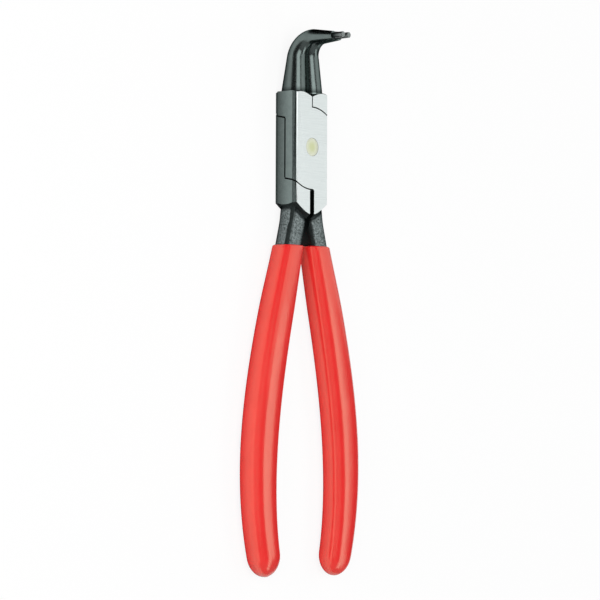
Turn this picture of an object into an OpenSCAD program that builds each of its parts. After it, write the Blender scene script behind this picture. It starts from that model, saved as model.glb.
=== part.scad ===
// Internal circlip pliers with tips bent at a right angle.
// The pliers lie on the back face of the joint: +Y runs along the tool to the jaws, +Z out of the
// front face and along the tips. The origin is on the pivot axis, in the plane of the back face.

/* [Joint head] */
// Width of the head across the joint
head_w = 15.5; // [14:0.1:18]
// Thickness of the head from back face to front face
head_t = 9; // [8:0.1:11]
// How far the chamfers on the four long edges of the head reach across the faces
chamfer_across = 0.6; // [0.2:0.05:1]
// How far those chamfers reach down the sides
chamfer_down = 1.3; // [0.2:0.05:2]
// Radius of the lap shoulder above the pivot, at the outer face
upper_lap_r = 12.5; // [11:0.05:13.5]
// Radius of the lap shoulder below the pivot, at the outer face
lower_lap_r = 13.3; // [12:0.05:14]
// Draft of the lap shoulders, in degrees: they narrow towards the lap
lap_draft = 8.6; // [0:0.1:12]
// Running gap along the curved lap shoulders
seam_gap = 0.4; // [0.2:0.05:0.5]
// Running gap between the two flat lap faces
lap_gap = 0.14; // [0.04:0.02:0.2]
// Width of the slot between the heels of the two arms
heel_slot_w = 2; // [1.2:0.05:2.6]
// Height of the head's flat top above the pivot, round the jaw's root
shoulder_y = 17.25; // [16.5:0.05:19]
// Distance from the middle to the axis of the conical shoulder
shoulder_x = 5; // [4:0.1:6]
// Radius of the flat top inside the conical shoulder
shoulder_r = 4.1; // [3.8:0.1:4.6]
// Slope of the conical shoulder, in degrees from level
shoulder_angle = 31; // [20:1:36]
// Distance below the pivot of the point of the cone that ends both heels
heel_apex_y = 25.1; // [23:0.1:27]
// Slope of the heels' cone, in degrees from level
heel_angle = 42; // [36:1:46]

/* [Pivot rivet] */
// Diameter of the rivet's shank
rivet_d = 4.8; // [3.6:0.1:5.2]
// Diameter of the rivet's flush heads
rivet_head_d = 5.6; // [5.3:0.1:6.4]
// Depth of each countersunk rivet head
rivet_head_h = 0.9; // [0.6:0.1:1.4]
// Straight edge of each rivet head, before its countersink
rivet_land = 0.2; // [0.1:0.05:0.4]
// How far the rivet's ends lie below the ground faces
rivet_sink = 0.04; // [0.02:0.01:0.1]
// Radial running clearance of the rivet in the front arm
rivet_running_gap = 0.05; // [0.02:0.01:0.1]
// Radial clearance of the rivet in the rear arm, where it is held
rivet_held_gap = 0.01; // [0.005:0.005:0.02]

/* [Jaws and tips] */
// Gap between the flat inner faces of the closed jaws
jaw_gap = 0.4; // [0.2:0.05:0.5]
// Height above the pivot at which the jaw leaves the head
jaw_root_y = 14.5; // [13.5:0.1:16]
// Half-width of the jaw at its root
jaw_root_half_w = 3.75; // [3.2:0.05:3.75]
// Half-thickness of the jaw at its root
jaw_root_half_t = 4.45; // [3.4:0.05:4.45]
// Radius of the jaw where the bend begins
bend_start_r = 2.95; // [2.3:0.05:3.2]
// Radius of the jaw where the bend ends
bend_end_r = 2.1; // [1.6:0.05:2.3]
// Radius of the jaw's end, behind the pin
jaw_end_r = 1.35; // [1.1:0.05:1.5]
// Forward lean of the straight part of the jaw, in degrees
jaw_lean = 2; // [0:0.5:6]
// Radius of the bend along the jaw's centre line
bend_r = 6.6; // [5:0.1:8]
// Height of the pin's axis above the pivot
tip_y = 34; // [32:0.1:38]
// How far the straight tip drops from the end of the bend to the pin
tip_drop = 0.35; // [0:0.05:0.6]
// Distance of the jaw's end in front of the front face
jaw_reach = 9.8; // [8:0.1:13]
// Diameter of the pin that enters the circlip's hole
pin_d = 1.8; // [1.5:0.05:2.3]
// Length of the pin
pin_len = 4; // [3:0.1:5]
// Chamfer on the end of the pin
pin_chamfer = 0.15; // [0.05:0.05:0.3]
// Distance between the axes of the two pins when closed
pin_spacing = 2.65; // [2.5:0.05:3.2]

/* [Handles] */
// Distance of the handle's axis from the middle, where it leaves the heel
neck_x = 3.5; // [3.2:0.05:4.2]
// Distance of that point below the pivot
neck_y = 21; // [20:0.1:23]
// Splay of the straight part of the handle, in degrees
splay = 14.8; // [12:0.1:18]
// Length of the straight part below the neck
straight_len = 17.7; // [15:0.1:24]
// Length of the curved part, to the end of the steel
curve_len = 95.1; // [85:0.1:110]
// Turn of the curved part from its start to its end, in degrees
handle_turn = 30.6; // [24:0.1:36]
// Half-width of the forged neck
neck_half_w = 3.9; // [3.4:0.05:4]
// Half-width of the steel at the bulge
bulge_half_w = 5; // [4.6:0.01:5.6]
// Half-width of the steel at its end
end_half_w = 3.85; // [3.6:0.05:4.6]
// Half-thickness of the forged neck
neck_half_t = 3.2; // [2.9:0.05:3.4]
// Half-thickness of the steel at the bulge
bulge_half_t = 3.3; // [3.1:0.05:3.9]
// Half-thickness of the steel at its end
end_half_t = 3.1; // [2.9:0.05:3.6]
// Distance of the widest place from the neck, along the handle
bulge_at = 68; // [55:1:80]
// Squareness of the forged section: 2 is an ellipse
tang_square = 3; // [2:0.1:4]

/* [Grip coats] */
// Thickness of the dipped plastic coat along the handle
coat_wall = 1; // [0.7:0.05:1.6]
// Thickness of the coat at its upper rim
coat_rim_wall = 0.7; // [0.65:0.05:1]
// Length over which the coat thickens below its rim
coat_ramp = 22; // [10:1:40]
// Clearance between the coat and the steel
coat_fit = 0.03; // [0.01:0.01:0.06]
// Distance of the coat's upper rim from the neck, along the handle
coat_start = 10; // [8:0.1:14]
// Extra thickness of the drip at the end of the left coat
left_coat_drip = 0.3; // [0.2:0.1:1.6]
// Extra thickness of the drip at the end of the right coat
right_coat_drip = 1.2; // [0.2:0.1:1.6]
// Radius of the coat's rounded rim
coat_rim_r = 0.65; // [0.2:0.05:0.65]

/* [Hidden] */
$fn = 96;

blackened_steel = "#4a5150";
ground_steel = "#d5d8d6";
grip_red = "#ee3b36";

// Amount by which a cutting shape passes the face that it cuts
past = 1;
// Number of corners and rings in the skinned jaw, steel handle and coat
skin_sides = 24;
jaw_stem_rings = 4;
jaw_bend_rings = 10;
jaw_tip_rings = 3;
flare_rings = 5;
handle_rings = 26;
end_cap_rings = 5;
// Turn of the last ring that rounds the end of a handle, short of a point
end_cap_turn = 84;

mid_z = head_t / 2;
half_w = head_w / 2;

bend_end_y = tip_y + tip_drop;
stem_len = (bend_end_y - jaw_root_y - bend_r * (1 - sin(jaw_lean))) / cos(jaw_lean);
bend_end_z = mid_z + stem_len * sin(jaw_lean) + bend_r * cos(jaw_lean);
jaw_end_z = head_t + jaw_reach;
bend_len = bend_r * (90 - jaw_lean) * PI / 180;
tip_len = jaw_end_z - bend_end_z;

steel_end = straight_len + curve_len;
left_coat_end = steel_end + coat_wall + left_coat_drip;
right_coat_end = steel_end + coat_wall + right_coat_drip;
// The steel flares where it leaves the heel, to just inside the faces of the head
flare_len = 3.2;
flare_out_w = 0.5;
flare_out_t = 0.2;
flare_inset = 0.15;
flare_half_w = neck_half_w + flare_out_w;
flare_half_t = min(neck_half_t + flare_out_t, mid_z - flare_inset);
// The steel starts this far above the neck point, inside the heel
tang_root = -3;
// Below the coat's rim, the sections turn from level to square with the handle over this length
level_run = 30;
path_step = 1;

function ease(t) = let (u = min(max(t, 0), 1)) u * u * (3 - 2 * u);
function mix(a, b, t) = a + (b - a) * t;
function signed_power(v, p) = sign(v) * pow(abs(v), p);

// Rings of points joined by a closed skin

module skin(rings) {
    sides = len(rings[0]);
    last = (len(rings) - 1) * sides;
    points = [for (ring = rings) each ring];
    walls = [
        for (k = [0 : len(rings) - 2])
            for (i = [0 : sides - 1])
                let (
                    a = k * sides + i,
                    b = k * sides + (i + 1) % sides,
                    c = a + sides,
                    d = b + sides
                )
                each [[a, d, b], [a, c, d]]
    ];
    first_cap = [[for (i = [0 : sides - 1]) i]];
    last_cap = [[for (i = [sides - 1 : -1 : 0]) last + i]];
    polyhedron(points, concat(first_cap, walls, last_cap), convexity = 6);
}

// Centre line of the right handle, by distance from the neck point: straight, then ever more bent

function handle_angle(s) = splay - handle_turn * pow(max(s - straight_len, 0) / curve_len, 2);

function step_along(s) = path_step * [sin(handle_angle(s)), -cos(handle_angle(s))];

handle_path = [
    for (
        k = 0, xy = [neck_x, -neck_y];
        k * path_step <= max(left_coat_end, right_coat_end) + 2 * path_step;
        xy = xy + step_along((k + 0.5) * path_step), k = k + 1
    ) xy
];

function handle_xy(s) =
    let (k = max(floor(s / path_step), 0))
    mix(handle_path[k], handle_path[k + 1], s / path_step - k);

// Half-width and half-thickness of the handle's steel, from values at the neck, the bulge and the end

function swell(s, neck, bulge, end) =
    s < coat_start ? neck
    : s < bulge_at ? mix(neck, bulge, sin(90 * (s - coat_start) / (bulge_at - coat_start)))
    : mix(bulge, end, 1 - cos(90 * (s - bulge_at) / (steel_end - bulge_at)));

function flare(s) = 1 - ease((s - tang_root) / (flare_len - tang_root));

function steel_half_w(s) = mix(swell(s, neck_half_w, bulge_half_w, end_half_w), flare_half_w, flare(s));

function steel_half_t(s) = mix(swell(s, neck_half_t, bulge_half_t, end_half_t), flare_half_t, flare(s));

// One ring across the handle: level at the neck, as the dipped rim is, and square with the handle below
function handle_ring(s, half_a, half_b) =
    let (
        xy = handle_xy(s),
        tilt = handle_angle(s) * ease((s - coat_start) / level_run),
        across = half_a / cos(handle_angle(s) - tilt)
    )
    [
        for (i = [0 : skin_sides - 1])
            let (
                t = 360 * i / skin_sides,
                u = across * signed_power(cos(t), 2 / tang_square),
                v = half_b * signed_power(sin(t), 2 / tang_square)
            )
            [xy[0] + u * cos(tilt), xy[1] + u * sin(tilt), mid_z + v]
    ];

// Rings from one place on the handle to its rounded end, grown by one thickness at the coat's rim
// and another below it
function handle_rings_to_end(from, end, rim_grow, end_grow) =
    let (cap = steel_half_t(end) + end_grow, shoulder = end - cap)
    concat(
        [
            for (k = [0 : handle_rings])
                let (
                    s = mix(from, shoulder, k / handle_rings),
                    grow = mix(rim_grow, end_grow, ease((s - coat_start) / coat_ramp))
                )
                handle_ring(s, steel_half_w(s) + grow, steel_half_t(s) + grow)
        ],
        [
            for (k = [1 : end_cap_rings])
                let (
                    t = end_cap_turn * k / end_cap_rings,
                    s = shoulder + cap * sin(t),
                    a = steel_half_w(shoulder) + end_grow
                )
                handle_ring(s, a * cos(t), cap * cos(t))
        ]
    );

function reversed(list) = [for (k = [len(list) - 1 : -1 : 0]) list[k]];

// Head of one arm: a half-thick plate over the pivot and two full-thick blocks beyond the lap

module head_outline() {
    translate([-half_w, -heel_apex_y]) square([head_w, shoulder_y + heel_apex_y]);
}

// Cone of a lap shoulder: widest at the front face, or at the back face if turned over
module lap_cone(radius) {
    narrowing = (head_t + 2 * past) * tan(lap_draft);
    widening = 2 * past * tan(lap_draft);
    translate([0, 0, -2 * past])
        cylinder(h = head_t + 4 * past, r1 = radius - narrowing, r2 = radius + widening);
}

// Space above or below the pivot, beyond a lap shoulder, from one side of the middle outwards
module beyond_lap(inner_x, reach_x, reach_y) {
    difference() {
        translate([min(inner_x, reach_x), min(0, reach_y), -past])
            cube([abs(reach_x - inner_x), abs(reach_y), head_t + 2 * past]);
        children();
    }
}

// Plate over the pivot, cut away where the other arm's blocks lie
module lap_plate() {
    difference() {
        translate([0, 0, mid_z + lap_gap / 2])
            linear_extrude(head_t - mid_z - lap_gap / 2) head_outline();
        beyond_lap(-jaw_gap / 2, head_w, shoulder_y + past) lap_cone(upper_lap_r - seam_gap / 2);
        beyond_lap(heel_slot_w / 2, -head_w, -heel_apex_y) lap_cone(lower_lap_r - seam_gap / 2);
    }
}

// Jaw block and heel block, as thick as the head, whose shoulders face the other arm's plate
module lap_blocks() {
    intersection() {
        linear_extrude(head_t) head_outline();
        union() {
            beyond_lap(-jaw_gap / 2, -head_w, shoulder_y + past)
                turned_over() lap_cone(upper_lap_r + seam_gap / 2);
            beyond_lap(heel_slot_w / 2, head_w, -heel_apex_y)
                turned_over() lap_cone(lower_lap_r + seam_gap / 2);
        }
    }
}

// Chamfered bar that bounds the head
module head_bar() {
    translate([0, shoulder_y, 0])
        rotate([90, 0, 0])
            linear_extrude(shoulder_y + heel_apex_y)
                polygon([
                    [-half_w, chamfer_down], [-half_w + chamfer_across, 0],
                    [half_w - chamfer_across, 0], [half_w, chamfer_down],
                    [half_w, head_t - chamfer_down], [half_w - chamfer_across, head_t],
                    [-half_w + chamfer_across, head_t], [-half_w, head_t - chamfer_down]
                ]);
}

// Cone beside the jaw's axis, whose slope makes the scalloped shoulder of the head
module shoulder_cone() {
    translate([-shoulder_x, shoulder_y, mid_z])
        rotate([90, 0, 0])
            cylinder(
                h = shoulder_y + heel_apex_y, r1 = shoulder_r,
                r2 = shoulder_r + (shoulder_y + heel_apex_y) / tan(shoulder_angle)
            );
}

// Cone about the tool's own axis, which ends both heels
module heel_cone() {
    height = heel_apex_y + shoulder_y + past;
    translate([0, -heel_apex_y, mid_z])
        rotate([-90, 0, 0])
            cylinder(h = height, r1 = 0, r2 = height / tan(heel_angle));
}

// Head of the front arm: jaw block on the left, heel block on the right
module arm_head() {
    intersection() {
        union() {
            lap_plate();
            lap_blocks();
        }
        head_bar();
        shoulder_cone();
        heel_cone();
    }
}

// Forged steel of the right handle, from inside the heel to its rounded end
module arm_tang() {
    steel = [
        for (k = [0 : flare_rings - 1])
            let (s = mix(tang_root, flare_len, k / flare_rings))
            handle_ring(s, steel_half_w(s), steel_half_t(s))
    ];
    intersection() {
        skin(concat(steel, handle_rings_to_end(flare_len, steel_end, 0, 0)));
        translate([heel_slot_w / 2, -4 * steel_end, -past])
            cube([4 * steel_end, 4 * steel_end, head_t + 2 * past]);
    }
}

// Jaw of the front arm, on the left: a bar, oval at its root, that tapers round the bend to its pin

function jaw_ring(x, y, z, turn, half_w, half_t) = [
    for (i = [0 : skin_sides - 1])
        let (t = 360 * i / skin_sides)
        [x - half_w * cos(t), y - half_t * sin(t) * sin(turn), z + half_t * sin(t) * cos(turn)]
];

function stem_ring(t) =
    let (
        half_w = mix(jaw_root_half_w, bend_start_r, t),
        half_t = mix(jaw_root_half_t, bend_start_r, t),
        s = t * stem_len
    )
    jaw_ring(
        -half_w - jaw_gap / 2,
        jaw_root_y + s * cos(jaw_lean), mid_z + s * sin(jaw_lean), jaw_lean, half_w, half_t
    );

// Distance of the jaw's axis from the middle, from the bend's start to the pin
function tip_x(t) = -mix(bend_start_r + jaw_gap / 2, pin_spacing / 2, t);

function bend_ring(t) =
    let (turn = mix(jaw_lean, 90, t), radius = mix(bend_start_r, bend_end_r, t))
    jaw_ring(
        tip_x(t * bend_len / (bend_len + tip_len)),
        bend_end_y - bend_r * (1 - sin(turn)),
        bend_end_z - bend_r * cos(turn),
        turn, radius, radius
    );

function tip_ring(t) =
    let (radius = mix(bend_end_r, jaw_end_r, t))
    jaw_ring(
        tip_x((bend_len + t * tip_len) / (bend_len + tip_len)),
        mix(bend_end_y, tip_y, t), bend_end_z + t * tip_len, 90, radius, radius
    );

module jaw() {
    intersection() {
        skin(concat(
            [for (k = [0 : jaw_stem_rings - 1]) stem_ring(k / jaw_stem_rings)],
            [for (k = [0 : jaw_bend_rings]) bend_ring(k / jaw_bend_rings)],
            [for (k = [1 : jaw_tip_rings]) tip_ring(k / jaw_tip_rings)]
        ));
        translate([-head_w - jaw_gap / 2, 0, -past])
            cube([head_w, 2 * tip_y, jaw_end_z + 2 * past]);
    }
    jaw_pin();
}

// Turned pin on the end of the jaw, rooted inside it
module jaw_pin() {
    root = pin_len / 4;
    translate([-pin_spacing / 2, tip_y, jaw_end_z]) {
        translate([0, 0, -root]) cylinder(h = root + pin_len - pin_chamfer, d = pin_d);
        translate([0, 0, pin_len - pin_chamfer])
            cylinder(h = pin_chamfer, d1 = pin_d, d2 = pin_d - 2 * pin_chamfer);
    }
}

// Rivet's outline, grown by a clearance; the hole's ends pass the faces of the head
module rivet_outline(gap, sink) {
    shank = rivet_d / 2 + gap;
    head = rivet_head_d / 2 + gap;
    polygon([
        [0, sink], [head, sink], [head, rivet_land], [shank, rivet_head_h],
        [shank, head_t - rivet_head_h], [head, head_t - rivet_land], [head, head_t - sink],
        [0, head_t - sink]
    ]);
}

module rivet_hole(gap) {
    rotate_extrude() rivet_outline(gap, -past);
}

module turned_over() {
    translate([0, 0, head_t]) rotate([0, 180, 0]) children();
}

// Named pieces

module front_arm() {
    color(blackened_steel) difference() {
        union() {
            arm_head();
            arm_tang();
            jaw();
        }
        rivet_hole(rivet_running_gap);
    }
}

module rear_arm() {
    color(blackened_steel) difference() {
        union() {
            turned_over() arm_head();
            turned_over() arm_tang();
            mirror([1, 0, 0]) jaw();
        }
        rivet_hole(rivet_held_gap);
    }
}

module pivot_rivet() {
    color(ground_steel) rotate_extrude() rivet_outline(0, rivet_sink);
}

// Dipped coat over the right handle: up the inside, over the rounded rim and down the outside
module grip_coat(coat_end) {
    rim_grow = coat_fit + coat_rim_wall;
    inner = handle_rings_to_end(coat_start, steel_end, coat_fit, coat_fit);
    rim = [
        for (t = [60, 30])
            let (
                s = coat_start + coat_rim_r * (1 - sin(t)),
                grow = rim_grow - coat_rim_r * (1 - cos(t))
            )
            handle_ring(s, steel_half_w(s) + grow, steel_half_t(s) + grow)
    ];
    outer = handle_rings_to_end(coat_start + coat_rim_r, coat_end, rim_grow, coat_fit + coat_wall);
    skin(concat(reversed(inner), rim, outer));
}

module right_grip_coat() {
    color(grip_red) grip_coat(right_coat_end);
}

module left_grip_coat() {
    color(grip_red) turned_over() grip_coat(left_coat_end);
}

front_arm();
rear_arm();
pivot_rivet();
left_grip_coat();
right_grip_coat();
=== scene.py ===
"""Circlip pliers with tips bent at a right angle, lying on a pale floor under soft studio light.

Metres throughout. +Y runs along the tool to the jaws, +Z out of the front face, and the origin is on the
pivot axis in the plane of the back face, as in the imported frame.
"""
from math import ceil, cos, pi, radians, sin, tan

import bpy
from mathutils import Matrix, Vector

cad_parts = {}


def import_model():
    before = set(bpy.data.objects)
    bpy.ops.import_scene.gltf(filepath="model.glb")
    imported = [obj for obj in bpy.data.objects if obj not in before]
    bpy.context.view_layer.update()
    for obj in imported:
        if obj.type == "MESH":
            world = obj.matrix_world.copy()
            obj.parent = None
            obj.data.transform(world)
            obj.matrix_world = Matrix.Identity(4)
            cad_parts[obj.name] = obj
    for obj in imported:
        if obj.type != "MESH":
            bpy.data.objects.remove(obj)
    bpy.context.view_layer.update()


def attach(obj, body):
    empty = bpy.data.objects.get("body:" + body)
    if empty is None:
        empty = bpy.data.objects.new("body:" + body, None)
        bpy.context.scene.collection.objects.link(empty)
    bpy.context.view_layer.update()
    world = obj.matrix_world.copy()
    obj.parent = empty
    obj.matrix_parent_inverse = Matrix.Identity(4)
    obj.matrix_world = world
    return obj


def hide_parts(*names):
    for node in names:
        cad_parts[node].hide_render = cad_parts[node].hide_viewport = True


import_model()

MM = 0.001

# Joint head
HEAD_W = 15.5 * MM
HEAD_T = 9 * MM
CHAMFER_ACROSS = 0.6 * MM
CHAMFER_DOWN = 1.5 * MM
UPPER_LAP_R = 12.5 * MM
LOWER_LAP_R = 13.3 * MM
LAP_DRAFT = radians(8.6)
SEAM_GAP = 0.4 * MM
LAP_GAP = 0.14 * MM
HEEL_SLOT_W = 2 * MM
SHOULDER_Y = 17.25 * MM
SHOULDER_X = 5 * MM
SHOULDER_R = 4.1 * MM
SHOULDER_ANGLE = radians(31)
HEEL_APEX_Y = 25.1 * MM
HEEL_ANGLE = radians(42)
EDGE_R = 0.08 * MM
GROUND_EDGE_R = 0.18 * MM
HEAD_EDGE_ANGLE = radians(25)
LAP_REBATE = 0.2 * MM
REBATE_DEPTH = 4 * LAP_REBATE
UPPER_REBATE_Y = 0.7 * UPPER_LAP_R
LOWER_REBATE_Y = 0.73 * LOWER_LAP_R
SLOT_R = 0.8 * MM
MID_Z = HEAD_T / 2
HALF_W = HEAD_W / 2
# how far a cutting tool runs past what it cuts
PAST = 1 * MM

# Pivot rivet
RIVET_R = 2.4 * MM
RIVET_HEAD_R = 2.8 * MM
RIVET_HEAD_H = 0.9 * MM
RIVET_LAND = 0.2 * MM
RIVET_SINK = 0.04 * MM
RIVET_RUNNING_GAP = 0.05 * MM
RIVET_RING = 0.45 * MM
RIVET_DISH = 0.03 * MM
RIVET_EDGE_R = 0.05 * MM
RIVET_EDGE_ANGLE = radians(60)

# Jaws and tips
JAW_GAP = 0.4 * MM
JAW_ROOT_Y = 14.5 * MM
JAW_ROOT_HALF = (3.75 * MM, 4.45 * MM)
BEND_START_R = 2.95 * MM
BEND_END_R = 2.1 * MM
JAW_END_R = 1.35 * MM
JAW_LEAN = radians(2)
BEND_R = 6.6 * MM
TIP_Y = 34 * MM
TIP_DROP = 0.35 * MM
JAW_END_Z = HEAD_T + 9.8 * MM
PIN_R = 0.9 * MM
PIN_LEN = 4 * MM
PIN_CHAMFER = 0.15 * MM
PIN_SPACING = 2.65 * MM

# Handles
NECK_X = 3.5 * MM
NECK_Y = 21 * MM
SPLAY = radians(14.8)
STRAIGHT_LEN = 17.7 * MM
CURVE_LEN = 95.1 * MM
STEEL_END = STRAIGHT_LEN + CURVE_LEN
HANDLE_TURN = radians(30.6)
NECK_HALF = (3.9 * MM, 3.2 * MM)
BULGE_HALF = (5 * MM, 3.3 * MM)
END_HALF = (3.85 * MM, 3.1 * MM)
BULGE_AT = 68 * MM
NECK_SHARE = 0.944
NECK_OVERLAP = 2 * MM
FLARE_LEN = 3.2 * MM
FLARE_OUT = (0.5 * MM, 0.2 * MM)
TANG_ROOT = -3 * MM
LEVEL_RUN = 30 * MM

# Grip coats
COAT_WALL = 1 * MM
COAT_RIM_WALL = 0.7 * MM
COAT_RAMP = 22 * MM
COAT_FIT = 0.03 * MM
COAT_START = 10 * MM
COAT_RIM_R = 0.65 * MM
COAT_RIM_ANGLES = [radians(15 * k) for k in range(5, 0, -1)]
COAT_END_LEN = 7 * MM
LEFT_DRIP = 0.3 * MM
RIGHT_DRIP = 1.5 * MM

# Exponents of the sections: 2 is an ellipse, and more is squarer
JAW_ROUND = 2
HANDLE_SQUARENESS = 3
NECK_SQUARENESS = 4

# Fineness of the meshes
JAW_SIDES = 64
PIN_SIDES = 48
CORNER_SEGMENTS = 16
ARC_SIDES = 256
STEM_RINGS = 8
BEND_RINGS = 24
TIP_RINGS = 6
NECK_RINGS = 12
CAP_RINGS = 10
CAP_TURN = radians(88)
RING_STEP = 1.5 * MM
INNER_RING_STEP = 4 * MM
PATH_STEP = 0.25 * MM
DOUBLES = 0.001 * MM
SECTION_DOUBLES = 0.0001
LEAST_TURN = 1e-6
SMOOTH_ANGLE = radians(20)
# least share of a face's normal along an axis for the face to look that way
FACING = 0.9

# Patterns on the surfaces. Real pores, grain, rubs and scratches are under 0.1 mm wide, too fine to show in
# the render, so they are drawn coarser, at these sizes.
SAG = 7 * MM
PORE = 0.5 * MM
OXIDE_CLOUD = 1.6 * MM
OXIDE_GRAIN = 0.16 * MM
FORGING_SPECK = 0.55 * MM
SCRATCH_LEN = 8 * MM
SCRATCH_W = 0.22 * MM
PIN_RUB = 0.2 * MM

# Tones of the steel: where each change of tone starts and ends; those at the jaws' roots and under the heels
# are painted shade
PAINTED_ROOT_SHADE_STEP = 0.1 * MM
PAINTED_ROOT_SHADE_SPAN = (0.3 * MM, 1.5 * MM)
PAINTED_HEEL_SHADE_SPAN = (1.9 * MM, 2.8 * MM)
PIN_WEAR_START = 0.2 * PIN_LEN
RIVET_TINT = (0.8 * MM, 2.3 * MM)

# Camera, at the photograph's viewing angle
AZIMUTH = radians(48.35)
ELEVATION = radians(-1.84)
ROLL = radians(0.21)
CAMERA_DISTANCE = 800 * MM
VIEW_Y = -47.65 * MM
VIEW_SHIFT = 0.29 * MM
FOCAL_PX = 2561
PHOTO_PX = 600
SENSOR_MM = 36

# Studio
FLOOR_SIZE = 6
PAPER_SHOWN = 0.88
PAPER_MIRRORED = 0.42
SHADE_REACH = (2 * MM, 9 * MM)
HEAD_SHADE = 0.62
COAT_SHADE = 0.95
CARD_SIZE = 0.3
CARD_PLACE = (0, 0.2, 0.3 * MM)
ROOM_GLOW = 0.05
WALL_GLOW = 0.3
WALL_EDGE = (-0.6, -0.25)


# Modelling steps

def deselect():
    if bpy.context.mode != "OBJECT":
        bpy.ops.object.mode_set(mode="OBJECT")
    bpy.ops.object.select_all(action="DESELECT")


def named(name):
    """Names the primitive that was just added and puts its place, turn and size in its mesh."""
    piece = bpy.context.active_object
    piece.name = piece.data.name = name
    bpy.ops.object.transform_apply(location=True, rotation=True, scale=True)
    return piece


def select(piece):
    deselect()
    piece.select_set(True)
    bpy.context.view_layer.objects.active = piece


def edit(piece):
    select(piece)
    bpy.ops.object.mode_set(mode="EDIT")
    bpy.ops.mesh.select_all(action="SELECT")


def pick_faces(piece, wanted):
    """Goes into edit mode with only the wanted faces selected."""
    edit(piece)
    bpy.ops.mesh.select_mode(type="FACE")
    bpy.ops.mesh.select_all(action="DESELECT")
    bpy.ops.object.mode_set(mode="OBJECT")
    for face in piece.data.polygons:
        face.select = wanted(face)
    bpy.ops.object.mode_set(mode="EDIT")


def pick_edges(piece, wanted):
    """Goes into edit mode with only the wanted edges selected, by the ends of each."""
    edit(piece)
    bpy.ops.mesh.select_mode(type="EDGE")
    bpy.ops.mesh.select_all(action="DESELECT")
    bpy.ops.object.mode_set(mode="OBJECT")
    for edge in piece.data.edges:
        edge.select = wanted(*(piece.data.vertices[k].co for k in edge.vertices))
    bpy.ops.object.mode_set(mode="EDIT")


def turn(angle, axis, centre):
    """Turns the selection; with no window the operator turns the other way."""
    bpy.ops.transform.rotate(value=-angle, orient_axis=axis, center_override=centre)


def apply_modifier(piece, kind, **settings):
    select(piece)
    made = piece.modifiers.new(kind.title(), kind)
    for name, value in settings.items():
        setattr(made, name, value)
    bpy.ops.object.modifier_apply(modifier=made.name)


def boolean(piece, operation, *tools):
    """Joins, cuts or trims a piece with tools, which are used up."""
    for tool in tools:
        apply_modifier(piece, "BOOLEAN", operation=operation, object=tool, solver="EXACT")
        bpy.data.objects.remove(tool)


def copy_of(piece, name):
    made = piece.copy()
    made.data = piece.data.copy()
    made.name = made.data.name = name
    bpy.context.scene.collection.objects.link(made)
    return made


def close_up(piece):
    """Merges doubles and turns every face outwards."""
    edit(piece)
    bpy.ops.mesh.remove_doubles(threshold=DOUBLES)
    bpy.ops.mesh.normals_make_consistent(inside=False)
    deselect()


def smooth(piece):
    select(piece)
    bpy.ops.object.shade_smooth_by_angle(angle=SMOOTH_ANGLE)


def box(name, low, high):
    """A block between two corners."""
    deselect()
    low, high = Vector(low), Vector(high)
    bpy.ops.mesh.primitive_cube_add(size=1, location=(low + high) / 2, scale=high - low)
    return named(name)


def cone(name, low, high, low_r, high_r):
    """A cone on the pivot axis, from one height to another."""
    deselect()
    bpy.ops.mesh.primitive_cone_add(
        vertices=ARC_SIDES, radius1=low_r, radius2=high_r, depth=high - low,
        location=(0, 0, (low + high) / 2))
    return named(name)


def cone_along_y(name, x, start_y, end_y, start_r, end_r):
    """A cone with its axis along the tool, at mid-thickness."""
    deselect()
    flip = -1 if end_y > start_y else 1
    bpy.ops.mesh.primitive_cone_add(
        vertices=ARC_SIDES, radius1=start_r, radius2=end_r, depth=abs(end_y - start_y),
        location=(x, (start_y + end_y) / 2, MID_Z), rotation=(flip * pi / 2, 0, 0))
    return named(name)


def loft(name, rings, squareness, segments):
    """A closed bar through rings, each (centre, turn axis, turn, half-width, half-thickness).

    The section starts as a square in the XZ plane whose corners are bevelled until they meet, with the
    profile that makes a superellipse of the given squareness.
    """
    deselect()
    bpy.ops.mesh.primitive_plane_add(size=2, rotation=(pi / 2, 0, 0))
    bar = named(name)
    edit(bar)
    bpy.ops.mesh.bevel(
        offset_type="PERCENT", offset_pct=50, affect="VERTICES",
        segments=segments, profile=2 ** (-2 / squareness))
    bpy.ops.mesh.select_all(action="SELECT")
    bpy.ops.mesh.remove_doubles(threshold=SECTION_DOUBLES)
    centre, last_turn, last_half = Vector((0, 0, 0)), 0, (1, 1)
    for count, (place, axis, angle, half_w, half_t) in enumerate(rings):
        step = Vector(place) - centre
        if count:
            bpy.ops.mesh.extrude_region_move(TRANSFORM_OT_translate={"value": step})
        else:
            bpy.ops.transform.translate(value=step)
        centre = Vector(place)
        across, through = half_w / last_half[0], half_t / last_half[1]
        if axis == "Z":
            bpy.ops.transform.resize(value=(across, across, through), center_override=centre)
        else:
            bpy.ops.transform.resize(value=(across, through, through), center_override=centre)
        if abs(angle - last_turn) > LEAST_TURN:
            turn(angle - last_turn, axis, centre)
        last_turn, last_half = angle, (half_w, half_t)
    close_up(bar)
    return bar


# Formulas of the handle and the jaw

def mix(a, b, t):
    return a + (b - a) * t


def ease(t):
    u = min(max(t, 0), 1)
    return u * u * (3 - 2 * u)


def handle_angle(s):
    return SPLAY - HANDLE_TURN * (max(s - STRAIGHT_LEN, 0) / CURVE_LEN) ** 2


def handle_point(s):
    """A point on the right handle's centre line, by its distance from the neck."""
    if s <= 0:
        return Vector((NECK_X + s * sin(SPLAY), -NECK_Y - s * cos(SPLAY), MID_Z))
    count = max(ceil(s / PATH_STEP), 1)
    part = s / count
    angles = [handle_angle((k + 0.5) * part) for k in range(count)]
    return Vector((
        NECK_X + part * sum(map(sin, angles)), -NECK_Y - part * sum(map(cos, angles)), MID_Z))


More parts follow.
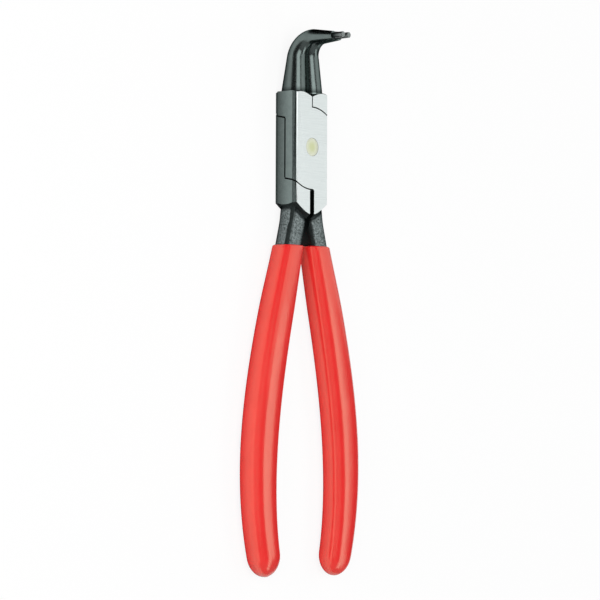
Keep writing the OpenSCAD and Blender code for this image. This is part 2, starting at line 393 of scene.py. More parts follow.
def swell(s, side):
    """Half-width (side 0) or half-thickness (side 1) of the steel from the neck to its end."""
    if s < COAT_START:
        return NECK_HALF[side]
    if s < BULGE_AT:
        rise = sin(pi / 2 * (s - COAT_START) / (BULGE_AT - COAT_START))
        return mix(NECK_HALF[side], BULGE_HALF[side], rise)
    fall = 1 - cos(pi / 2 * min((s - BULGE_AT) / (STEEL_END - BULGE_AT), 1))
    return mix(BULGE_HALF[side], END_HALF[side], fall)


def steel_half(s, side):
    """The same measure with the neck flared out into the heel."""
    flare = 1 - ease((s - TANG_ROOT) / (FLARE_LEN - TANG_ROOT))
    return mix(swell(s, side), NECK_HALF[side] + FLARE_OUT[side], flare)


def handle_ring(s, half_w, half_t):
    """A ring of loft() across the handle; it lies level at the neck and turns square to the handle below."""
    tilt = handle_angle(s) * ease((s - COAT_START) / LEVEL_RUN)
    return handle_point(s), "Z", tilt, half_w / cos(handle_angle(s) - tilt), half_t


def handle_rings(start, end, rim_grow, end_grow, cap=NECK_HALF[1], step=RING_STEP):
    """Rings down the handle and over its rounded end, which is cap long.

    They are the steel's size, grown by one thickness at the coat's rim and by another below it.
    """
    shoulder = end - cap
    count = ceil((shoulder - start) / step)
    rings = []
    for k in range(count + 1):
        s = mix(start, shoulder, k / count)
        grow = mix(rim_grow, end_grow, ease((s - COAT_START) / COAT_RAMP))
        rings.append(handle_ring(s, steel_half(s, 0) + grow, steel_half(s, 1) + grow))
    for k in range(1, CAP_RINGS + 1):
        t = CAP_TURN * k / CAP_RINGS
        half_w, half_t = ((steel_half(shoulder, side) + end_grow) * cos(t) for side in (0, 1))
        rings.append(handle_ring(shoulder + cap * sin(t), half_w, half_t))
    return rings


# Pieces

def head():
    """Head of the front arm: a half-thick plate over the pivot, a jaw block above and a heel block below."""
    piece = box("head", (-HALF_W, -HEEL_APEX_Y, 0), (HALF_W, SHOULDER_Y, HEAD_T))
    pick_edges(piece, lambda a, b: abs(a.y - b.y) > HEAD_W)
    bpy.ops.mesh.bevel(offset=CHAMFER_ACROSS, affect="EDGES", segments=1)
    pick_faces(piece, lambda face: abs(face.normal.x) > FACING)
    bpy.ops.transform.resize(
        value=(1, 1, (MID_Z - CHAMFER_DOWN) / (MID_Z - CHAMFER_ACROSS)), center_override=(0, 0, MID_Z))
    ground_x = HALF_W - CHAMFER_ACROSS
    pick_edges(piece, lambda a, b: abs(a.y - b.y) > HEAD_W and abs(abs(a.x) - ground_x) < EDGE_R)
    bpy.ops.mesh.bevel(offset=GROUND_EDGE_R, affect="EDGES", segments=1)
    deselect()

    # the plate's rims narrow from the front face down to the lap
    low, high = -2 * PAST, HEAD_T + 2 * PAST
    narrow, widen = (HEAD_T + 2 * PAST) * tan(LAP_DRAFT), 2 * PAST * tan(LAP_DRAFT)
    upper = box("upper_cut", (-JAW_GAP / 2, 0, -PAST), (HEAD_W, HEAD_W * 2, HEAD_T + PAST))
    rim = UPPER_LAP_R - SEAM_GAP / 2
    boolean(upper, "DIFFERENCE", cone("upper_lap", low, high, rim - narrow, rim + widen))
    lower = box("lower_cut", (-HEAD_W, -2 * HEAD_W, -PAST), (HEEL_SLOT_W / 2, 0, HEAD_T + PAST))
    rim = LOWER_LAP_R - SEAM_GAP / 2
    boolean(lower, "DIFFERENCE", cone("lower_lap", low, high, rim - narrow, rim + widen))

    # the slot between the heels ends in a rounded corner against the plate
    corner_x, corner_y = HEEL_SLOT_W / 2 - SLOT_R, -rim - SLOT_R
    corner = box("slot_corner", (corner_x, corner_y, -PAST), (HEAD_W, 0, HEAD_T + PAST))
    drill = cone("slot_drill", low, high, SLOT_R, SLOT_R)
    edit(drill)
    bpy.ops.transform.translate(value=(corner_x, corner_y, 0))
    boolean(corner, "DIFFERENCE", drill)
    boolean(lower, "DIFFERENCE", corner)
    boolean(piece, "DIFFERENCE", upper, lower)

    # the other arm's plate turns in two recesses, which narrow from the back face up to the lap
    lap_z = MID_Z + LAP_GAP / 2
    for name, lap_r, low_y, high_y in (("upper_recess", UPPER_LAP_R, 0, HEAD_W),
                                       ("lower_recess", LOWER_LAP_R, -HEAD_W, 0)):
        shoulder = lap_r + SEAM_GAP / 2
        recess = cone(
            name, -PAST, lap_z, shoulder + PAST * tan(LAP_DRAFT), shoulder - lap_z * tan(LAP_DRAFT))
        boolean(recess, "INTERSECT", box("half", (-HEAD_W, low_y, -2 * PAST), (HEAD_W, high_y, HEAD_T)))
        boolean(piece, "DIFFERENCE", recess)

    # a narrow rebate along each side of the plate's lap face, which shows as the seam between the arms
    for side, low_y, high_y in ((-1, -HEAD_W, UPPER_REBATE_Y), (1, -LOWER_REBATE_Y, HEAD_W)):
        near, far = sorted((side * (HALF_W - REBATE_DEPTH), side * (HALF_W + PAST)))
        boolean(piece, "DIFFERENCE", box(
            "lap_rebate", (near, low_y, MID_Z), (far, high_y, lap_z + LAP_REBATE)))

    # a cone round the jaw's root slopes the shoulder, and one on the tool's axis slopes the heel
    reach = SHOULDER_Y + HEEL_APEX_Y
    shoulder_foot_r = SHOULDER_R + reach / tan(SHOULDER_ANGLE)
    boolean(piece, "INTERSECT", cone_along_y(
        "shoulder", -SHOULDER_X, SHOULDER_Y, -HEEL_APEX_Y, SHOULDER_R, shoulder_foot_r))
    boolean(piece, "INTERSECT", cone_along_y(
        "heel", 0, -HEEL_APEX_Y, SHOULDER_Y + PAST, 0, (reach + PAST) / tan(HEEL_ANGLE)))
    boolean(piece, "DIFFERENCE", rivet_body("rivet_hole", RIVET_RUNNING_GAP, -PAST))
    close_up(piece)
    apply_modifier(
        piece, "BEVEL", width=EDGE_R, segments=1, limit_method="ANGLE", angle_limit=HEAD_EDGE_ANGLE)
    return piece


def rivet_body(name, gap, sink):
    """The rivet's shank with a countersunk head drawn out at each end, grown by a clearance."""
    shank, flange = RIVET_R + gap, RIVET_HEAD_R + gap
    piece = cone(name, RIVET_HEAD_H, HEAD_T - RIVET_HEAD_H, shank, shank)
    for side in (-1, 1):
        pick_faces(piece, lambda face: face.normal.z * side > FACING)
        bpy.ops.mesh.extrude_region_move(
            TRANSFORM_OT_translate={"value": (0, 0, side * (RIVET_HEAD_H - RIVET_LAND))})
        bpy.ops.transform.resize(value=(flange / shank, flange / shank, 1), center_override=(0, 0, 0))
        bpy.ops.mesh.extrude_region_move(
            TRANSFORM_OT_translate={"value": (0, 0, side * (RIVET_LAND - sink))})
    bpy.ops.mesh.select_mode(type="VERT")
    deselect()
    return piece


def tang():
    """Forged steel of the right handle: a flat-sided neck from inside the heel, and the steel in the coat."""
    neck_end = COAT_START + NECK_OVERLAP
    rings = []
    for k in range(NECK_RINGS + 1):
        s = mix(TANG_ROOT, neck_end, k / NECK_RINGS)
        rings.append(handle_ring(s, NECK_SHARE * steel_half(s, 0), NECK_SHARE * steel_half(s, 1)))
    piece = loft("tang", rings, NECK_SQUARENESS, CORNER_SEGMENTS)
    # the covered steel starts just inside the coat's rim
    covered = handle_rings(COAT_START + COAT_RIM_R / 4, STEEL_END, 0, 0)
    boolean(piece, "UNION", loft("covered_tang", covered, HANDLE_SQUARENESS, CORNER_SEGMENTS))
    edit(piece)
    bpy.ops.mesh.bisect(
        plane_co=(HEEL_SLOT_W / 2, 0, 0), plane_no=(1, 0, 0), use_fill=True, clear_inner=True)
    close_up(piece)
    return piece


def jaw():
    """Left jaw: a bar that tapers round the bend, oval at its root and flat inside."""
    bend_end_y = TIP_Y + TIP_DROP
    stem_len = (bend_end_y - JAW_ROOT_Y - BEND_R * (1 - sin(JAW_LEAN))) / cos(JAW_LEAN)
    bend_end_z = MID_Z + stem_len * sin(JAW_LEAN) + BEND_R * cos(JAW_LEAN)
    bend_len = BEND_R * (pi / 2 - JAW_LEAN)
    tip_len = JAW_END_Z - bend_end_z

    def axis_x(run):
        return -mix(BEND_START_R + JAW_GAP / 2, PIN_SPACING / 2, run / (bend_len + tip_len))

    rings = []
    for k in range(STEM_RINGS):
        t = k / STEM_RINGS
        half_w, half_t = (mix(half, BEND_START_R, t) for half in JAW_ROOT_HALF)
        centre = (-half_w - JAW_GAP / 2, JAW_ROOT_Y + t * stem_len * cos(JAW_LEAN),
                  MID_Z + t * stem_len * sin(JAW_LEAN))
        rings.append((centre, "X", JAW_LEAN, half_w, half_t))
    for k in range(BEND_RINGS + 1):
        t = k / BEND_RINGS
        angle = mix(JAW_LEAN, pi / 2, t)
        radius = mix(BEND_START_R, BEND_END_R, t)
        centre = (axis_x(t * bend_len), bend_end_y - BEND_R * (1 - sin(angle)),
                  bend_end_z - BEND_R * cos(angle))
        rings.append((centre, "X", angle, radius, radius))
    for k in range(1, TIP_RINGS + 1):
        t = k / TIP_RINGS
        radius = mix(BEND_END_R, JAW_END_R, t)
        centre = (axis_x(bend_len + t * tip_len), mix(bend_end_y, TIP_Y, t), bend_end_z + t * tip_len)
        rings.append((centre, "X", pi / 2, radius, radius))
    piece = loft("jaw", rings, JAW_ROUND, JAW_SIDES // 4)
    edit(piece)
    bpy.ops.mesh.bisect(
        plane_co=(-JAW_GAP / 2, 0, 0), plane_no=(1, 0, 0), use_fill=True, clear_outer=True)
    close_up(piece)
    return piece


def pin():
    """Pin with a chamfered end, rooted inside the jaw."""
    root = PIN_LEN / 4
    deselect()
    bpy.ops.mesh.primitive_cylinder_add(
        vertices=PIN_SIDES, radius=PIN_R, depth=root + PIN_LEN,
        location=(-PIN_SPACING / 2, TIP_Y, JAW_END_Z + (PIN_LEN - root) / 2))
    piece = named("pin")
    pick_faces(piece, lambda face: face.normal.z > FACING)
    bpy.ops.mesh.bevel(offset=PIN_CHAMFER, affect="EDGES", segments=2)
    bpy.ops.mesh.select_mode(type="VERT")
    deselect()
    return piece


def turn_over(piece):
    """Turns a piece over on the tool's own axis, so that the front arm's head becomes the rear arm's."""
    edit(piece)
    turn(pi, "Y", (0, 0, MID_Z))
    deselect()


def mirror_across(piece):
    edit(piece)
    bpy.ops.transform.mirror(constraint_axis=(True, False, False), center_override=(0, 0, 0))
    bpy.ops.mesh.normals_make_consistent(inside=False)
    deselect()


def arm(name, head_piece, *others):
    """Joins an arm's head, tang, jaw and pin into one piece."""
    boolean(head_piece, "UNION", *others)
    close_up(head_piece)
    head_piece.name = head_piece.data.name = name
    smooth(head_piece)
    return head_piece


def grip_coat(name, drip):
    """Dipped coat of the right handle: up the inside, over the rounded rim and down the outside."""
    rim_grow = COAT_FIT + COAT_RIM_WALL
    inner = handle_rings(COAT_START, STEEL_END, COAT_FIT, COAT_FIT, step=INNER_RING_STEP)
    rim = []
    for angle in COAT_RIM_ANGLES:
        s = COAT_START + COAT_RIM_R * (1 - sin(angle))
        lip = rim_grow - COAT_RIM_R * (1 - cos(angle))
        rim.append(handle_ring(s, steel_half(s, 0) + lip, steel_half(s, 1) + lip))
    outer = handle_rings(
        COAT_START + COAT_RIM_R, STEEL_END + COAT_WALL + drip, rim_grow, COAT_FIT + COAT_WALL,
        cap=COAT_END_LEN)
    piece = loft(name, inner[::-1] + rim + outer, HANDLE_SQUARENESS, CORNER_SEGMENTS)
    smooth(piece)
    return piece


def rivet():
    """Rivet whose ends were ground flush, each with a faint ring where the peened middle sits lower."""
    piece = rivet_body("pivot_rivet_finished", 0, RIVET_SINK)
    for side in (-1, 1):
        pick_faces(piece, lambda face: face.normal.z * side > FACING)
        bpy.ops.mesh.inset(thickness=RIVET_RING)
        bpy.ops.mesh.inset(thickness=2 * RIVET_DISH)
        bpy.ops.transform.translate(value=(0, 0, -side * RIVET_DISH))
    bpy.ops.mesh.select_mode(type="VERT")
    deselect()
    apply_modifier(
        piece, "BEVEL", width=RIVET_EDGE_R, segments=2, limit_method="ANGLE", angle_limit=RIVET_EDGE_ANGLE)
    smooth(piece)
    return piece


# Materials

def linear(hex_colour):
    """An sRGB hex colour as the linear RGBA that the shaders take."""
    channels = [int(hex_colour[k:k + 2], 16) / 255 for k in (1, 3, 5)]
    return tuple(c / 12.92 if c <= 0.04045 else ((c + 0.055) / 1.055) ** 2.4 for c in channels) + (1.0,)


def add_node(tree, kind, inputs=None, **settings):
    """Adds one node; each input is a value or a socket to link."""
    made = tree.nodes.new(kind)
    for name, value in settings.items():
        setattr(made, name, value)
    for name, value in (inputs or {}).items():
        if isinstance(value, bpy.types.NodeSocket):
            tree.links.new(value, made.inputs[name])
        else:
            made.inputs[name].default_value = value
    return made


def new_material(name):
    """A new material, its empty node tree and the socket that gives Object coordinates."""
    made = bpy.data.materials.new(name)
    made.use_nodes = True
    made.node_tree.nodes.clear()
    tree = made.node_tree
    place = add_node(tree, "ShaderNodeTexCoord").outputs["Object"]
    return made, tree, place


# Dipped soft PVC: the hot handle was dipped in liquid vinyl, drained and cured, which leaves a glossy
# poured skin that waves a little and has no edge or grain.
def dipped_vinyl():
    made, tree, place = new_material("dipped_glossy_red_vinyl")
    waves = add_node(tree, "ShaderNodeTexNoise", {"Vector": place, "Scale": 1 / SAG, "Detail": 2.0})
    pores = add_node(tree, "ShaderNodeTexNoise", {"Vector": place, "Scale": 1 / PORE, "Detail": 2.0})
    tone = add_node(tree, "ShaderNodeMix", {
        0: waves.outputs["Fac"], 6: linear("#e22829"), 7: linear("#ec3131")}, data_type="RGBA")
    gloss = add_node(tree, "ShaderNodeMapRange", {
        "Value": pores.outputs["Fac"], "From Min": 0.3, "From Max": 0.7, "To Min": 0.16, "To Max": 0.24})
    sag = add_node(tree, "ShaderNodeBump", {
        "Height": waves.outputs["Fac"], "Strength": 0.5, "Distance": 0.12 * MM})
    skin = add_node(tree, "ShaderNodeBump", {
        "Height": pores.outputs["Fac"], "Strength": 0.3, "Distance": 0.006 * MM, "Normal": sag.outputs[0]})
    shader = add_node(tree, "ShaderNodeBsdfPrincipled", {
        "Base Color": tone.outputs[2], "Roughness": gloss.outputs[0], "IOR": 1.6, "Specular IOR Level": 0.8,
        "Specular Tint": linear("#dcffd8"), "Normal": skin.outputs[0]})
    add_node(tree, "ShaderNodeOutputMaterial", {"Surface": shader.outputs[0]})
    return made


# Satin black-oxide steel: milled steel blackened in a hot salt bath and oiled, which gives a dark
# green-grey skin that mirrors its surroundings softly and goes nearly black at the edges.
def satin_black_oxide():
    made, tree, place = new_material("satin_black_oxide_steel")
    cloud = add_node(tree, "ShaderNodeTexNoise", {"Vector": place, "Scale": 1 / OXIDE_CLOUD, "Detail": 4.0})
    grain = add_node(tree, "ShaderNodeTexNoise", {"Vector": place, "Scale": 1 / OXIDE_GRAIN, "Detail": 2.0})
    tone = add_node(tree, "ShaderNodeMix", {
        0: cloud.outputs["Fac"], 6: linear("#737f7d"), 7: linear("#889592")}, data_type="RGBA")
    gloss = add_node(tree, "ShaderNodeMapRange", {
        "Value": grain.outputs["Fac"], "From Min": 0.3, "From Max": 0.7, "To Min": 0.2, "To Max": 0.28})
    tooth = add_node(tree, "ShaderNodeBump", {
        "Height": grain.outputs["Fac"], "Strength": 0.4, "Distance": 0.004 * MM})
    # the jaws are a little darker than the head, and painted shade makes them darkest in the corner round
    # their roots
    along = add_node(tree, "ShaderNodeSeparateXYZ", {"Vector": place})
    above = add_node(tree, "ShaderNodeMapRange", {
        "Value": along.outputs["Y"], "From Min": SHOULDER_Y - PAINTED_ROOT_SHADE_STEP, "From Max": SHOULDER_Y,
        "To Min": 0.0, "To Max": 0.75})
    fade = add_node(tree, "ShaderNodeMapRange", {
        "Value": along.outputs["Y"], "From Min": SHOULDER_Y + PAINTED_ROOT_SHADE_SPAN[0],
        "From Max": SHOULDER_Y + PAINTED_ROOT_SHADE_SPAN[1], "To Min": 1.0, "To Max": 0.37})
    corner = add_node(tree, "ShaderNodeMath", {0: above.outputs[0], 1: fade.outputs[0]}, operation="MULTIPLY")
    tone = add_node(tree, "ShaderNodeMix", {
        0: corner.outputs[0], 6: tone.outputs[2], 7: linear("#1c2221")}, data_type="RGBA")
    shader = add_node(tree, "ShaderNodeBsdfPrincipled", {
        "Base Color": tone.outputs[2], "Metallic": 1.0, "Roughness": gloss.outputs[0],
        "Specular Tint": linear("#303030"), "Normal": tooth.outputs[0]})
    add_node(tree, "ShaderNodeOutputMaterial", {"Surface": shader.outputs[0]})
    return made


# Blackened forging skin: the neck was drop-forged, tumbled and blackened but never machined, so it is
# speckled light and dark over a slightly pitted, duller surface.
def forged_black_oxide():
    made, tree, place = new_material("speckled_forged_black_oxide_steel")
    speck = add_node(tree, "ShaderNodeTexNoise", {
        "Vector": place, "Scale": 1 / FORGING_SPECK, "Detail": 5.0, "Roughness": 0.65})
    spread = add_node(tree, "ShaderNodeMapRange", {
        "Value": speck.outputs["Fac"], "From Min": 0.35, "From Max": 0.65})
    tone = add_node(tree, "ShaderNodeMix", {
        0: spread.outputs[0], 6: linear("#454d4c"), 7: linear("#929c9c")}, data_type="RGBA")
    gloss = add_node(tree, "ShaderNodeMapRange", {
        "Value": speck.outputs["Fac"], "From Min": 0.3, "From Max": 0.7, "To Min": 0.36, "To Max": 0.24})
    pits = add_node(tree, "ShaderNodeBump", {
        "Height": speck.outputs["Fac"], "Strength": 0.6, "Distance": 0.05 * MM})
    # the slope under the heels meets the front face along a curve, and painted shade makes the neck darkest
    # just below that
    curve = add_node(tree, "ShaderNodeMapping", {
        "Vector": place, "Location": (0, 0, MID_Z), "Scale": (1, 0, 0)})
    reach = add_node(tree, "ShaderNodeVectorMath", {0: curve.outputs[0]}, operation="LENGTH")
    along = add_node(tree, "ShaderNodeSeparateXYZ", {"Vector": place})
    below = add_node(tree, "ShaderNodeMath", {
        0: reach.outputs["Value"], 1: -tan(HEEL_ANGLE), 2: along.outputs["Y"]}, operation="MULTIPLY_ADD")
    corner = add_node(tree, "ShaderNodeMapRange", {
        "Value": below.outputs[0], "From Min": -HEEL_APEX_Y - PAINTED_HEEL_SHADE_SPAN[1],
        "From Max": -HEEL_APEX_Y - PAINTED_HEEL_SHADE_SPAN[0], "To Min": 0.0, "To Max": 0.9})
    tone = add_node(tree, "ShaderNodeMix", {
        0: corner.outputs[0], 6: tone.outputs[2], 7: linear("#1a1f1f")}, data_type="RGBA")
    shader = add_node(tree, "ShaderNodeBsdfPrincipled", {
        "Base Color": tone.outputs[2], "Metallic": 1.0, "Roughness": gloss.outputs[0],
        "Specular Tint": linear("#303030"), "Normal": pits.outputs[0]})
    add_node(tree, "ShaderNodeOutputMaterial", {"Surface": shader.outputs[0]})
    return made


# Matt black oxide as painted shade: dull, almost black steel laid on the slope under the heels and on the
# corners and inner sides of the necks, where shade falls.
def dull_black_oxide_painted_shade():
    made, tree, place = new_material("dull_black_oxide_steel_painted_shade")
    speck = add_node(tree, "ShaderNodeTexNoise", {"Vector": place, "Scale": 1 / FORGING_SPECK, "Detail": 5.0})
    tone = add_node(tree, "ShaderNodeMix", {
        0: speck.outputs["Fac"], 6: linear("#373e3d"), 7: linear("#4c5453")}, data_type="RGBA")
    shader = add_node(tree, "ShaderNodeBsdfPrincipled", {
        "Base Color": tone.outputs[2], "Metallic": 1.0, "Roughness": 0.6, "Specular Tint": linear("#303030")})
    add_node(tree, "ShaderNodeOutputMaterial", {"Surface": shader.outputs[0]})
    return made


# Surface-ground steel: both faces of the riveted joint were ground flat after blackening, which bares
# bright metal covered with fine straight scratches across the tool.
def ground_steel():
    made, tree, place = new_material("bright_surface_ground_steel")
    along = add_node(tree, "ShaderNodeMapping", {
        "Vector": place, "Scale": (1 / SCRATCH_LEN, 1 / SCRATCH_W, 1 / SCRATCH_LEN)})
    scratch = add_node(tree, "ShaderNodeTexNoise", {
        "Vector": along.outputs[0], "Scale": 1.0, "Detail": 4.0, "Roughness": 0.6})
    spread = add_node(tree, "ShaderNodeMapRange", {
        "Value": scratch.outputs["Fac"], "From Min": 0.3, "From Max": 0.7})
    tone = add_node(tree, "ShaderNodeMix", {
        0: spread.outputs[0], 6: linear("#d8e0df"), 7: linear("#e6edec")}, data_type="RGBA")
    gloss = add_node(tree, "ShaderNodeMapRange", {
        "Value": scratch.outputs["Fac"], "From Min": 0.3, "From Max": 0.7, "To Min": 0.27, "To Max": 0.37})
    furrow = add_node(tree, "ShaderNodeBump", {
        "Height": scratch.outputs["Fac"], "Strength": 0.4, "Distance": 0.004 * MM})
    shader = add_node(tree, "ShaderNodeBsdfPrincipled", {
        "Base Color": tone.outputs[2], "Metallic": 1.0, "Roughness": gloss.outputs[0],
        "Normal": furrow.outputs[0]})
    add_node(tree, "ShaderNodeOutputMaterial", {"Surface": shader.outputs[0]})
    return made


# Worn pin steel: the turned pin was blackened with the jaw and has rubbed bright in circlip holes, so it
# runs from dark at its root to bare steel at its end.
def worn_pin_steel():
    made, tree, place = new_material("worn_bright_pin_steel")
    height = add_node(tree, "ShaderNodeSeparateXYZ", {"Vector": place})
    wear = add_node(tree, "ShaderNodeMapRange", {
        "Value": height.outputs["Z"], "From Min": JAW_END_Z + PIN_WEAR_START,
        "From Max": JAW_END_Z + PIN_LEN})
    tone = add_node(tree, "ShaderNodeMix", {
        0: wear.outputs[0], 6: linear("#262d2c"), 7: linear("#868d8b")}, data_type="RGBA")
    rubs = add_node(tree, "ShaderNodeTexNoise", {"Vector": place, "Scale": 1 / PIN_RUB, "Detail": 3.0})
    gloss = add_node(tree, "ShaderNodeMapRange", {
        "Value": rubs.outputs["Fac"], "From Min": 0.3, "From Max": 0.7, "To Min": 0.22, "To Max": 0.4})
    shader = add_node(tree, "ShaderNodeBsdfPrincipled", {
        "Base Color": tone.outputs[2], "Metallic": 1.0, "Roughness": gloss.outputs[0]})
    add_node(tree, "ShaderNodeOutputMaterial", {"Surface": shader.outputs[0]})
    return made


# Yellow-passivated rivet: the plated rivet was peened and its ends dressed flush, which leaves a soft
# greenish-yellow metal disc that pales towards its edge.
def yellow_rivet():
    made, tree, place = new_material("yellow_passivated_rivet_steel")
    level = add_node(tree, "ShaderNodeMapping", {"Vector": place, "Scale": (1, 1, 0)})
    radius = add_node(tree, "ShaderNodeVectorMath", {0: level.outputs[0]}, operation="LENGTH")
    outwards = add_node(tree, "ShaderNodeMapRange", {
        "Value": radius.outputs["Value"], "From Min": RIVET_TINT[0], "From Max": RIVET_TINT[1]})
    tone = add_node(tree, "ShaderNodeMix", {
        0: outwards.outputs[0], 6: linear("#d8deb2"), 7: linear("#e5e9d3")}, data_type="RGBA")
    shader = add_node(tree, "ShaderNodeBsdfPrincipled", {
        "Base Color": tone.outputs[2], "Metallic": 1.0, "Roughness": 0.38})
    add_node(tree, "ShaderNodeOutputMaterial", {"Surface": shader.outputs[0]})
    return made


# Scene

# White studio paper: a smooth matt sweep, which reads as plain white with only a faint shadow on it.
def floor():
    deselect()
    bpy.ops.mesh.primitive_plane_add(size=FLOOR_SIZE, location=(0, VIEW_Y, 0))
    piece = named("floor")
    made, tree, place = new_material("matt_white_paper_floor")
    paper = add_node(tree, "ShaderNodeBsdfDiffuse", {"Color": linear("#f4f4f4")})
    glow = add_node(tree, "ShaderNodeEmission", {"Color": linear("#ffffff"), "Strength": 1.0})
    rays = add_node(tree, "ShaderNodeLightPath")
    mirrored = add_node(tree, "ShaderNodeMath", {
        0: rays.outputs["Is Glossy Ray"], 1: PAPER_MIRRORED}, operation="MULTIPLY")
    share = add_node(tree, "ShaderNodeMath", {
        0: rays.outputs["Is Camera Ray"], 1: PAPER_SHOWN, 2: mirrored.outputs[0]}, operation="MULTIPLY_ADD")
    mixed = add_node(tree, "ShaderNodeMixShader", {
        0: share.outputs[0], 1: paper.outputs[0], 2: glow.outputs[0]})
    # paper right beside the tool lies in its shade, so a surface that mirrors it from close by goes darker,
    # most of all beside the coats, which are wider than the head and keep more light off the paper
    along = add_node(tree, "ShaderNodeSeparateXYZ", {"Vector": place})
    depth = add_node(tree, "ShaderNodeMapRange", {
        "Value": along.outputs["Y"], "From Min": -NECK_Y - COAT_RAMP, "From Max": -NECK_Y - COAT_START,
        "To Min": COAT_SHADE, "To Max": HEAD_SHADE})
    near = add_node(tree, "ShaderNodeMapRange", {
        "Value": rays.outputs["Ray Length"], "From Min": SHADE_REACH[0], "From Max": SHADE_REACH[1],
        "To Min": depth.outputs[0], "To Max": 0.0})
    shade = add_node(tree, "ShaderNodeMath", {0: near.outputs[0], 1: rays.outputs["Is Glossy Ray"]},
                     operation="MULTIPLY")
    dark = add_node(tree, "ShaderNodeBsdfDiffuse", {"Color": linear("#000000")})
    shaded = add_node(tree, "ShaderNodeMixShader", {
        0: shade.outputs[0], 1: mixed.outputs[0], 2: dark.outputs[0]})
    add_node(tree, "ShaderNodeOutputMaterial", {"Surface": shaded.outputs[0]})
    piece.data.materials.append(made)


# Black card: dull black board on the floor beyond the jaws, out of sight, which their upper sides mirror.
def black_flag():
    deselect()
    bpy.ops.mesh.primitive_plane_add(size=CARD_SIZE, location=CARD_PLACE)
    piece = named("black_flag")
    made, tree, _ = new_material("dull_black_card")
    card = add_node(tree, "ShaderNodeBsdfDiffuse", {"Color": linear("#0c0c0c")})
    add_node(tree, "ShaderNodeOutputMaterial", {"Surface": card.outputs[0]})
    piece.data.materials.append(made)
    piece.visible_camera = piece.visible_diffuse = piece.visible_shadow = False


def softbox(name, place, aim, size, watts, glossy=True, diffuse=True):
    """A soft rectangular lamp, which may be kept out of what gloss mirrors or of the diffuse light."""
    data = bpy.data.lights.new(name, "AREA")
    data.shape = "RECTANGLE"
    data.size, data.size_y = size
    data.energy = watts
    lamp = bpy.data.objects.new(name, data)
    bpy.context.scene.collection.objects.link(lamp)
    lamp.location = place
    lamp.rotation_euler = (Vector(aim) - Vector(place)).to_track_quat("-Z", "Y").to_euler()
    lamp.visible_camera = False
    lamp.visible_glossy = glossy
    lamp.visible_diffuse = diffuse
    return lamp


def light_only(lamp, name, *pieces):
    """Lets a lamp shine on the given pieces and nothing else."""
    lit = bpy.data.collections.new(name)
    for piece in pieces:
        lit.objects.link(piece)
    lamp.light_linking.receiver_collection = lit


def world():
    made = bpy.data.worlds.new("dim_studio")
    bpy.context.scene.world = made
    made.use_nodes = True
    tree = made.node_tree
    tree.nodes.clear()
    # gloss mirrors a pale wall beyond the handles, which keeps bright metal bright when seen from behind
    towards = add_node(tree, "ShaderNodeSeparateXYZ", {
        "Vector": add_node(tree, "ShaderNodeTexCoord").outputs["Generated"]})
    wall = add_node(tree, "ShaderNodeMapRange", {
        "Value": towards.outputs["Y"], "From Min": WALL_EDGE[0], "From Max": WALL_EDGE[1],
        "To Min": WALL_GLOW, "To Max": 0.0})
    rays = add_node(tree, "ShaderNodeLightPath")
    strength = add_node(tree, "ShaderNodeMath", {
        0: wall.outputs[0], 1: rays.outputs["Is Glossy Ray"], 2: ROOM_GLOW}, operation="MULTIPLY_ADD")
    room = add_node(tree, "ShaderNodeBackground", {
        "Color": linear("#ffffff"), "Strength": strength.outputs[0]})
    add_node(tree, "ShaderNodeOutputWorld", {"Surface": room.outputs[0]})


def camera():
    back = Vector((-sin(AZIMUTH) * cos(ELEVATION), sin(ELEVATION), cos(AZIMUTH) * cos(ELEVATION)))
    side = Vector((0, 1, 0)).cross(back).normalized()
    up = back.cross(side)
    side, up = side * cos(ROLL) + up * sin(ROLL), up * cos(ROLL) - side * sin(ROLL)
    target = Vector((0, VIEW_Y, MID_Z)) - side * VIEW_SHIFT
    data = bpy.data.cameras.new("photo_camera")
    data.sensor_width = SENSOR_MM
    data.lens = SENSOR_MM * FOCAL_PX / PHOTO_PX
    data.clip_start, data.clip_end = 0.05, 20
    made = bpy.data.objects.new("photo_camera", data)
    bpy.context.scene.collection.objects.link(made)
    turned = Matrix((side, up, back)).transposed().to_4x4()
    made.matrix_world = Matrix.Translation(target + back * CAMERA_DISTANCE) @ turned
    bpy.context.scene.camera = made


def dress(piece, materials, index_of):
    """Gives a piece its materials and each face the index of one of them."""
    piece.data.materials.clear()
    for made in materials:
        piece.data.materials.append(made)
    for face in piece.data.polygons:
        face.material_index = index_of(face)


# Finishes of the arms, by their places in the list of steels; the last stands for painted shade
SATIN, GROUND, FORGED, WORN, DULL_SHADE = range(5)


def head_finish(face):
    """Ground on the front and back and over their long edges, dull near-black as painted shade under the
    heels, satin elsewhere.
    """
    under_heel = face.normal.y < -0.6 and face.center.y < -LOWER_LAP_R - PAST
    if under_heel:
        return DULL_SHADE
    depth = min(face.center.z, HEAD_T - face.center.z)
    flat = abs(face.normal.z) > 0.98 and depth < EDGE_R / 2
    long_edge = abs(face.normal.y) < 0.05 and abs(face.normal.z) > 0.55 and depth < 2 * GROUND_EDGE_R
    return GROUND if flat or long_edge else SATIN


def neck_finish(face):
    """Dull near-black as painted shade on the inner side and the corners of the neck, speckled on its other
    sides.
    """
    corner = 0.4 < abs(face.normal.x) < 0.93
    inner = face.normal.x < -0.6
    return DULL_SHADE if corner or inner else FORGED


def place_piece(piece, body, node):
    """Puts a finished piece on its body, in place of its node."""
    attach(piece, body)
    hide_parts(node)


# Set and lamps

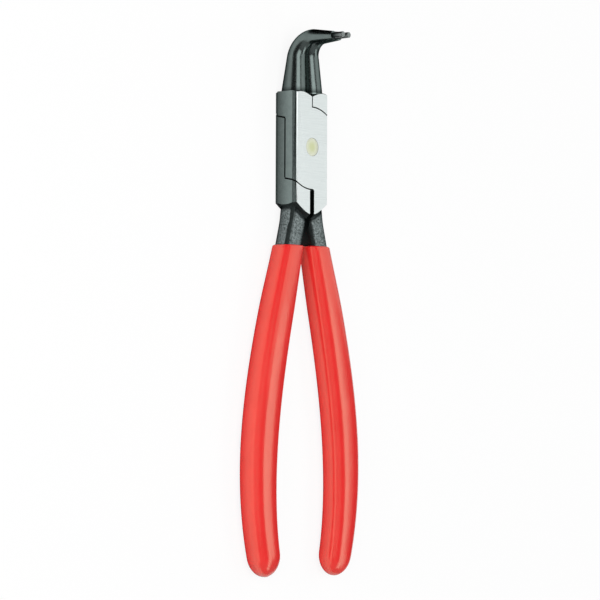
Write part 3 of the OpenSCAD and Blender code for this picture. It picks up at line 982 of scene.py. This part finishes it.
camera()
world()
floor()
black_flag()
softbox("handle_softbox", place=(0.394, -0.385, 0.45), aim=(0.394, -0.385, 0),
        size=(0.248, 0.73), watts=1.15)
coat_strip = softbox("coat_strip", place=(-0.582, -0.1, 0.145), aim=(0, -0.1, 0),
                     size=(1.0, 0.255), watts=0.7, diffuse=False)
softbox("head_softbox", place=(0.439, 0.29, 0.409), aim=(0, 0.29, 0), size=(0.62, 0.8), watts=1.48)
jaw_softbox = softbox("jaw_softbox", place=(-0.0525, 0.098, 0.12), aim=(-0.0525, 0.098, 0),
                      size=(0.0965, 0.204), watts=0.114, diffuse=False)
softbox("left_fill", place=(-0.48, -0.05, 0.595), aim=(0, -0.05, 0), size=(0.6, 1.2), watts=8.0,
        glossy=False)

# Making and finishing the pieces

steels = [satin_black_oxide(), ground_steel(), forged_black_oxide(), worn_pin_steel(), dull_black_oxide_painted_shade()]
vinyl = dipped_vinyl()

front_head = head()
dress(front_head, steels, head_finish)
rear_head = copy_of(front_head, "rear_head")
turn_over(rear_head)
front_tang = tang()
dress(front_tang, steels, neck_finish)
rear_tang = copy_of(front_tang, "rear_tang")
turn_over(rear_tang)
left_jaw = jaw()
dress(left_jaw, steels, lambda face: SATIN)
left_pin = pin()
dress(left_pin, steels, lambda face: WORN)
right_jaw, right_pin = copy_of(left_jaw, "right_jaw"), copy_of(left_pin, "right_pin")
mirror_across(right_jaw)
mirror_across(right_pin)
front_arm = arm("front_arm_finished", front_head, front_tang, left_jaw, left_pin)
rear_arm = arm("rear_arm_finished", rear_head, rear_tang, right_jaw, right_pin)
right_coat = grip_coat("right_grip_coat_finished", RIGHT_DRIP)
left_coat = grip_coat("left_grip_coat_finished", LEFT_DRIP)
turn_over(left_coat)
for coat in (right_coat, left_coat):
    dress(coat, [vinyl], lambda face: 0)
pivot = rivet()
dress(pivot, [yellow_rivet()], lambda face: 0)

# the small lamp over the jaws is there for the steel alone, and the low strip for the coats
light_only(jaw_softbox, "steel_arms", front_arm, rear_arm)
light_only(coat_strip, "grip_coats", right_coat, left_coat)

# Putting them in the frame

place_piece(front_arm, "front_half", "front_arm")
place_piece(right_coat, "front_half", "right_grip_coat")
place_piece(rear_arm, "rear_half", "rear_arm")
place_piece(left_coat, "rear_half", "left_grip_coat")
place_piece(pivot, "rear_half", "pivot_rivet")

bpy.context.scene.view_settings.view_transform = "Standard"
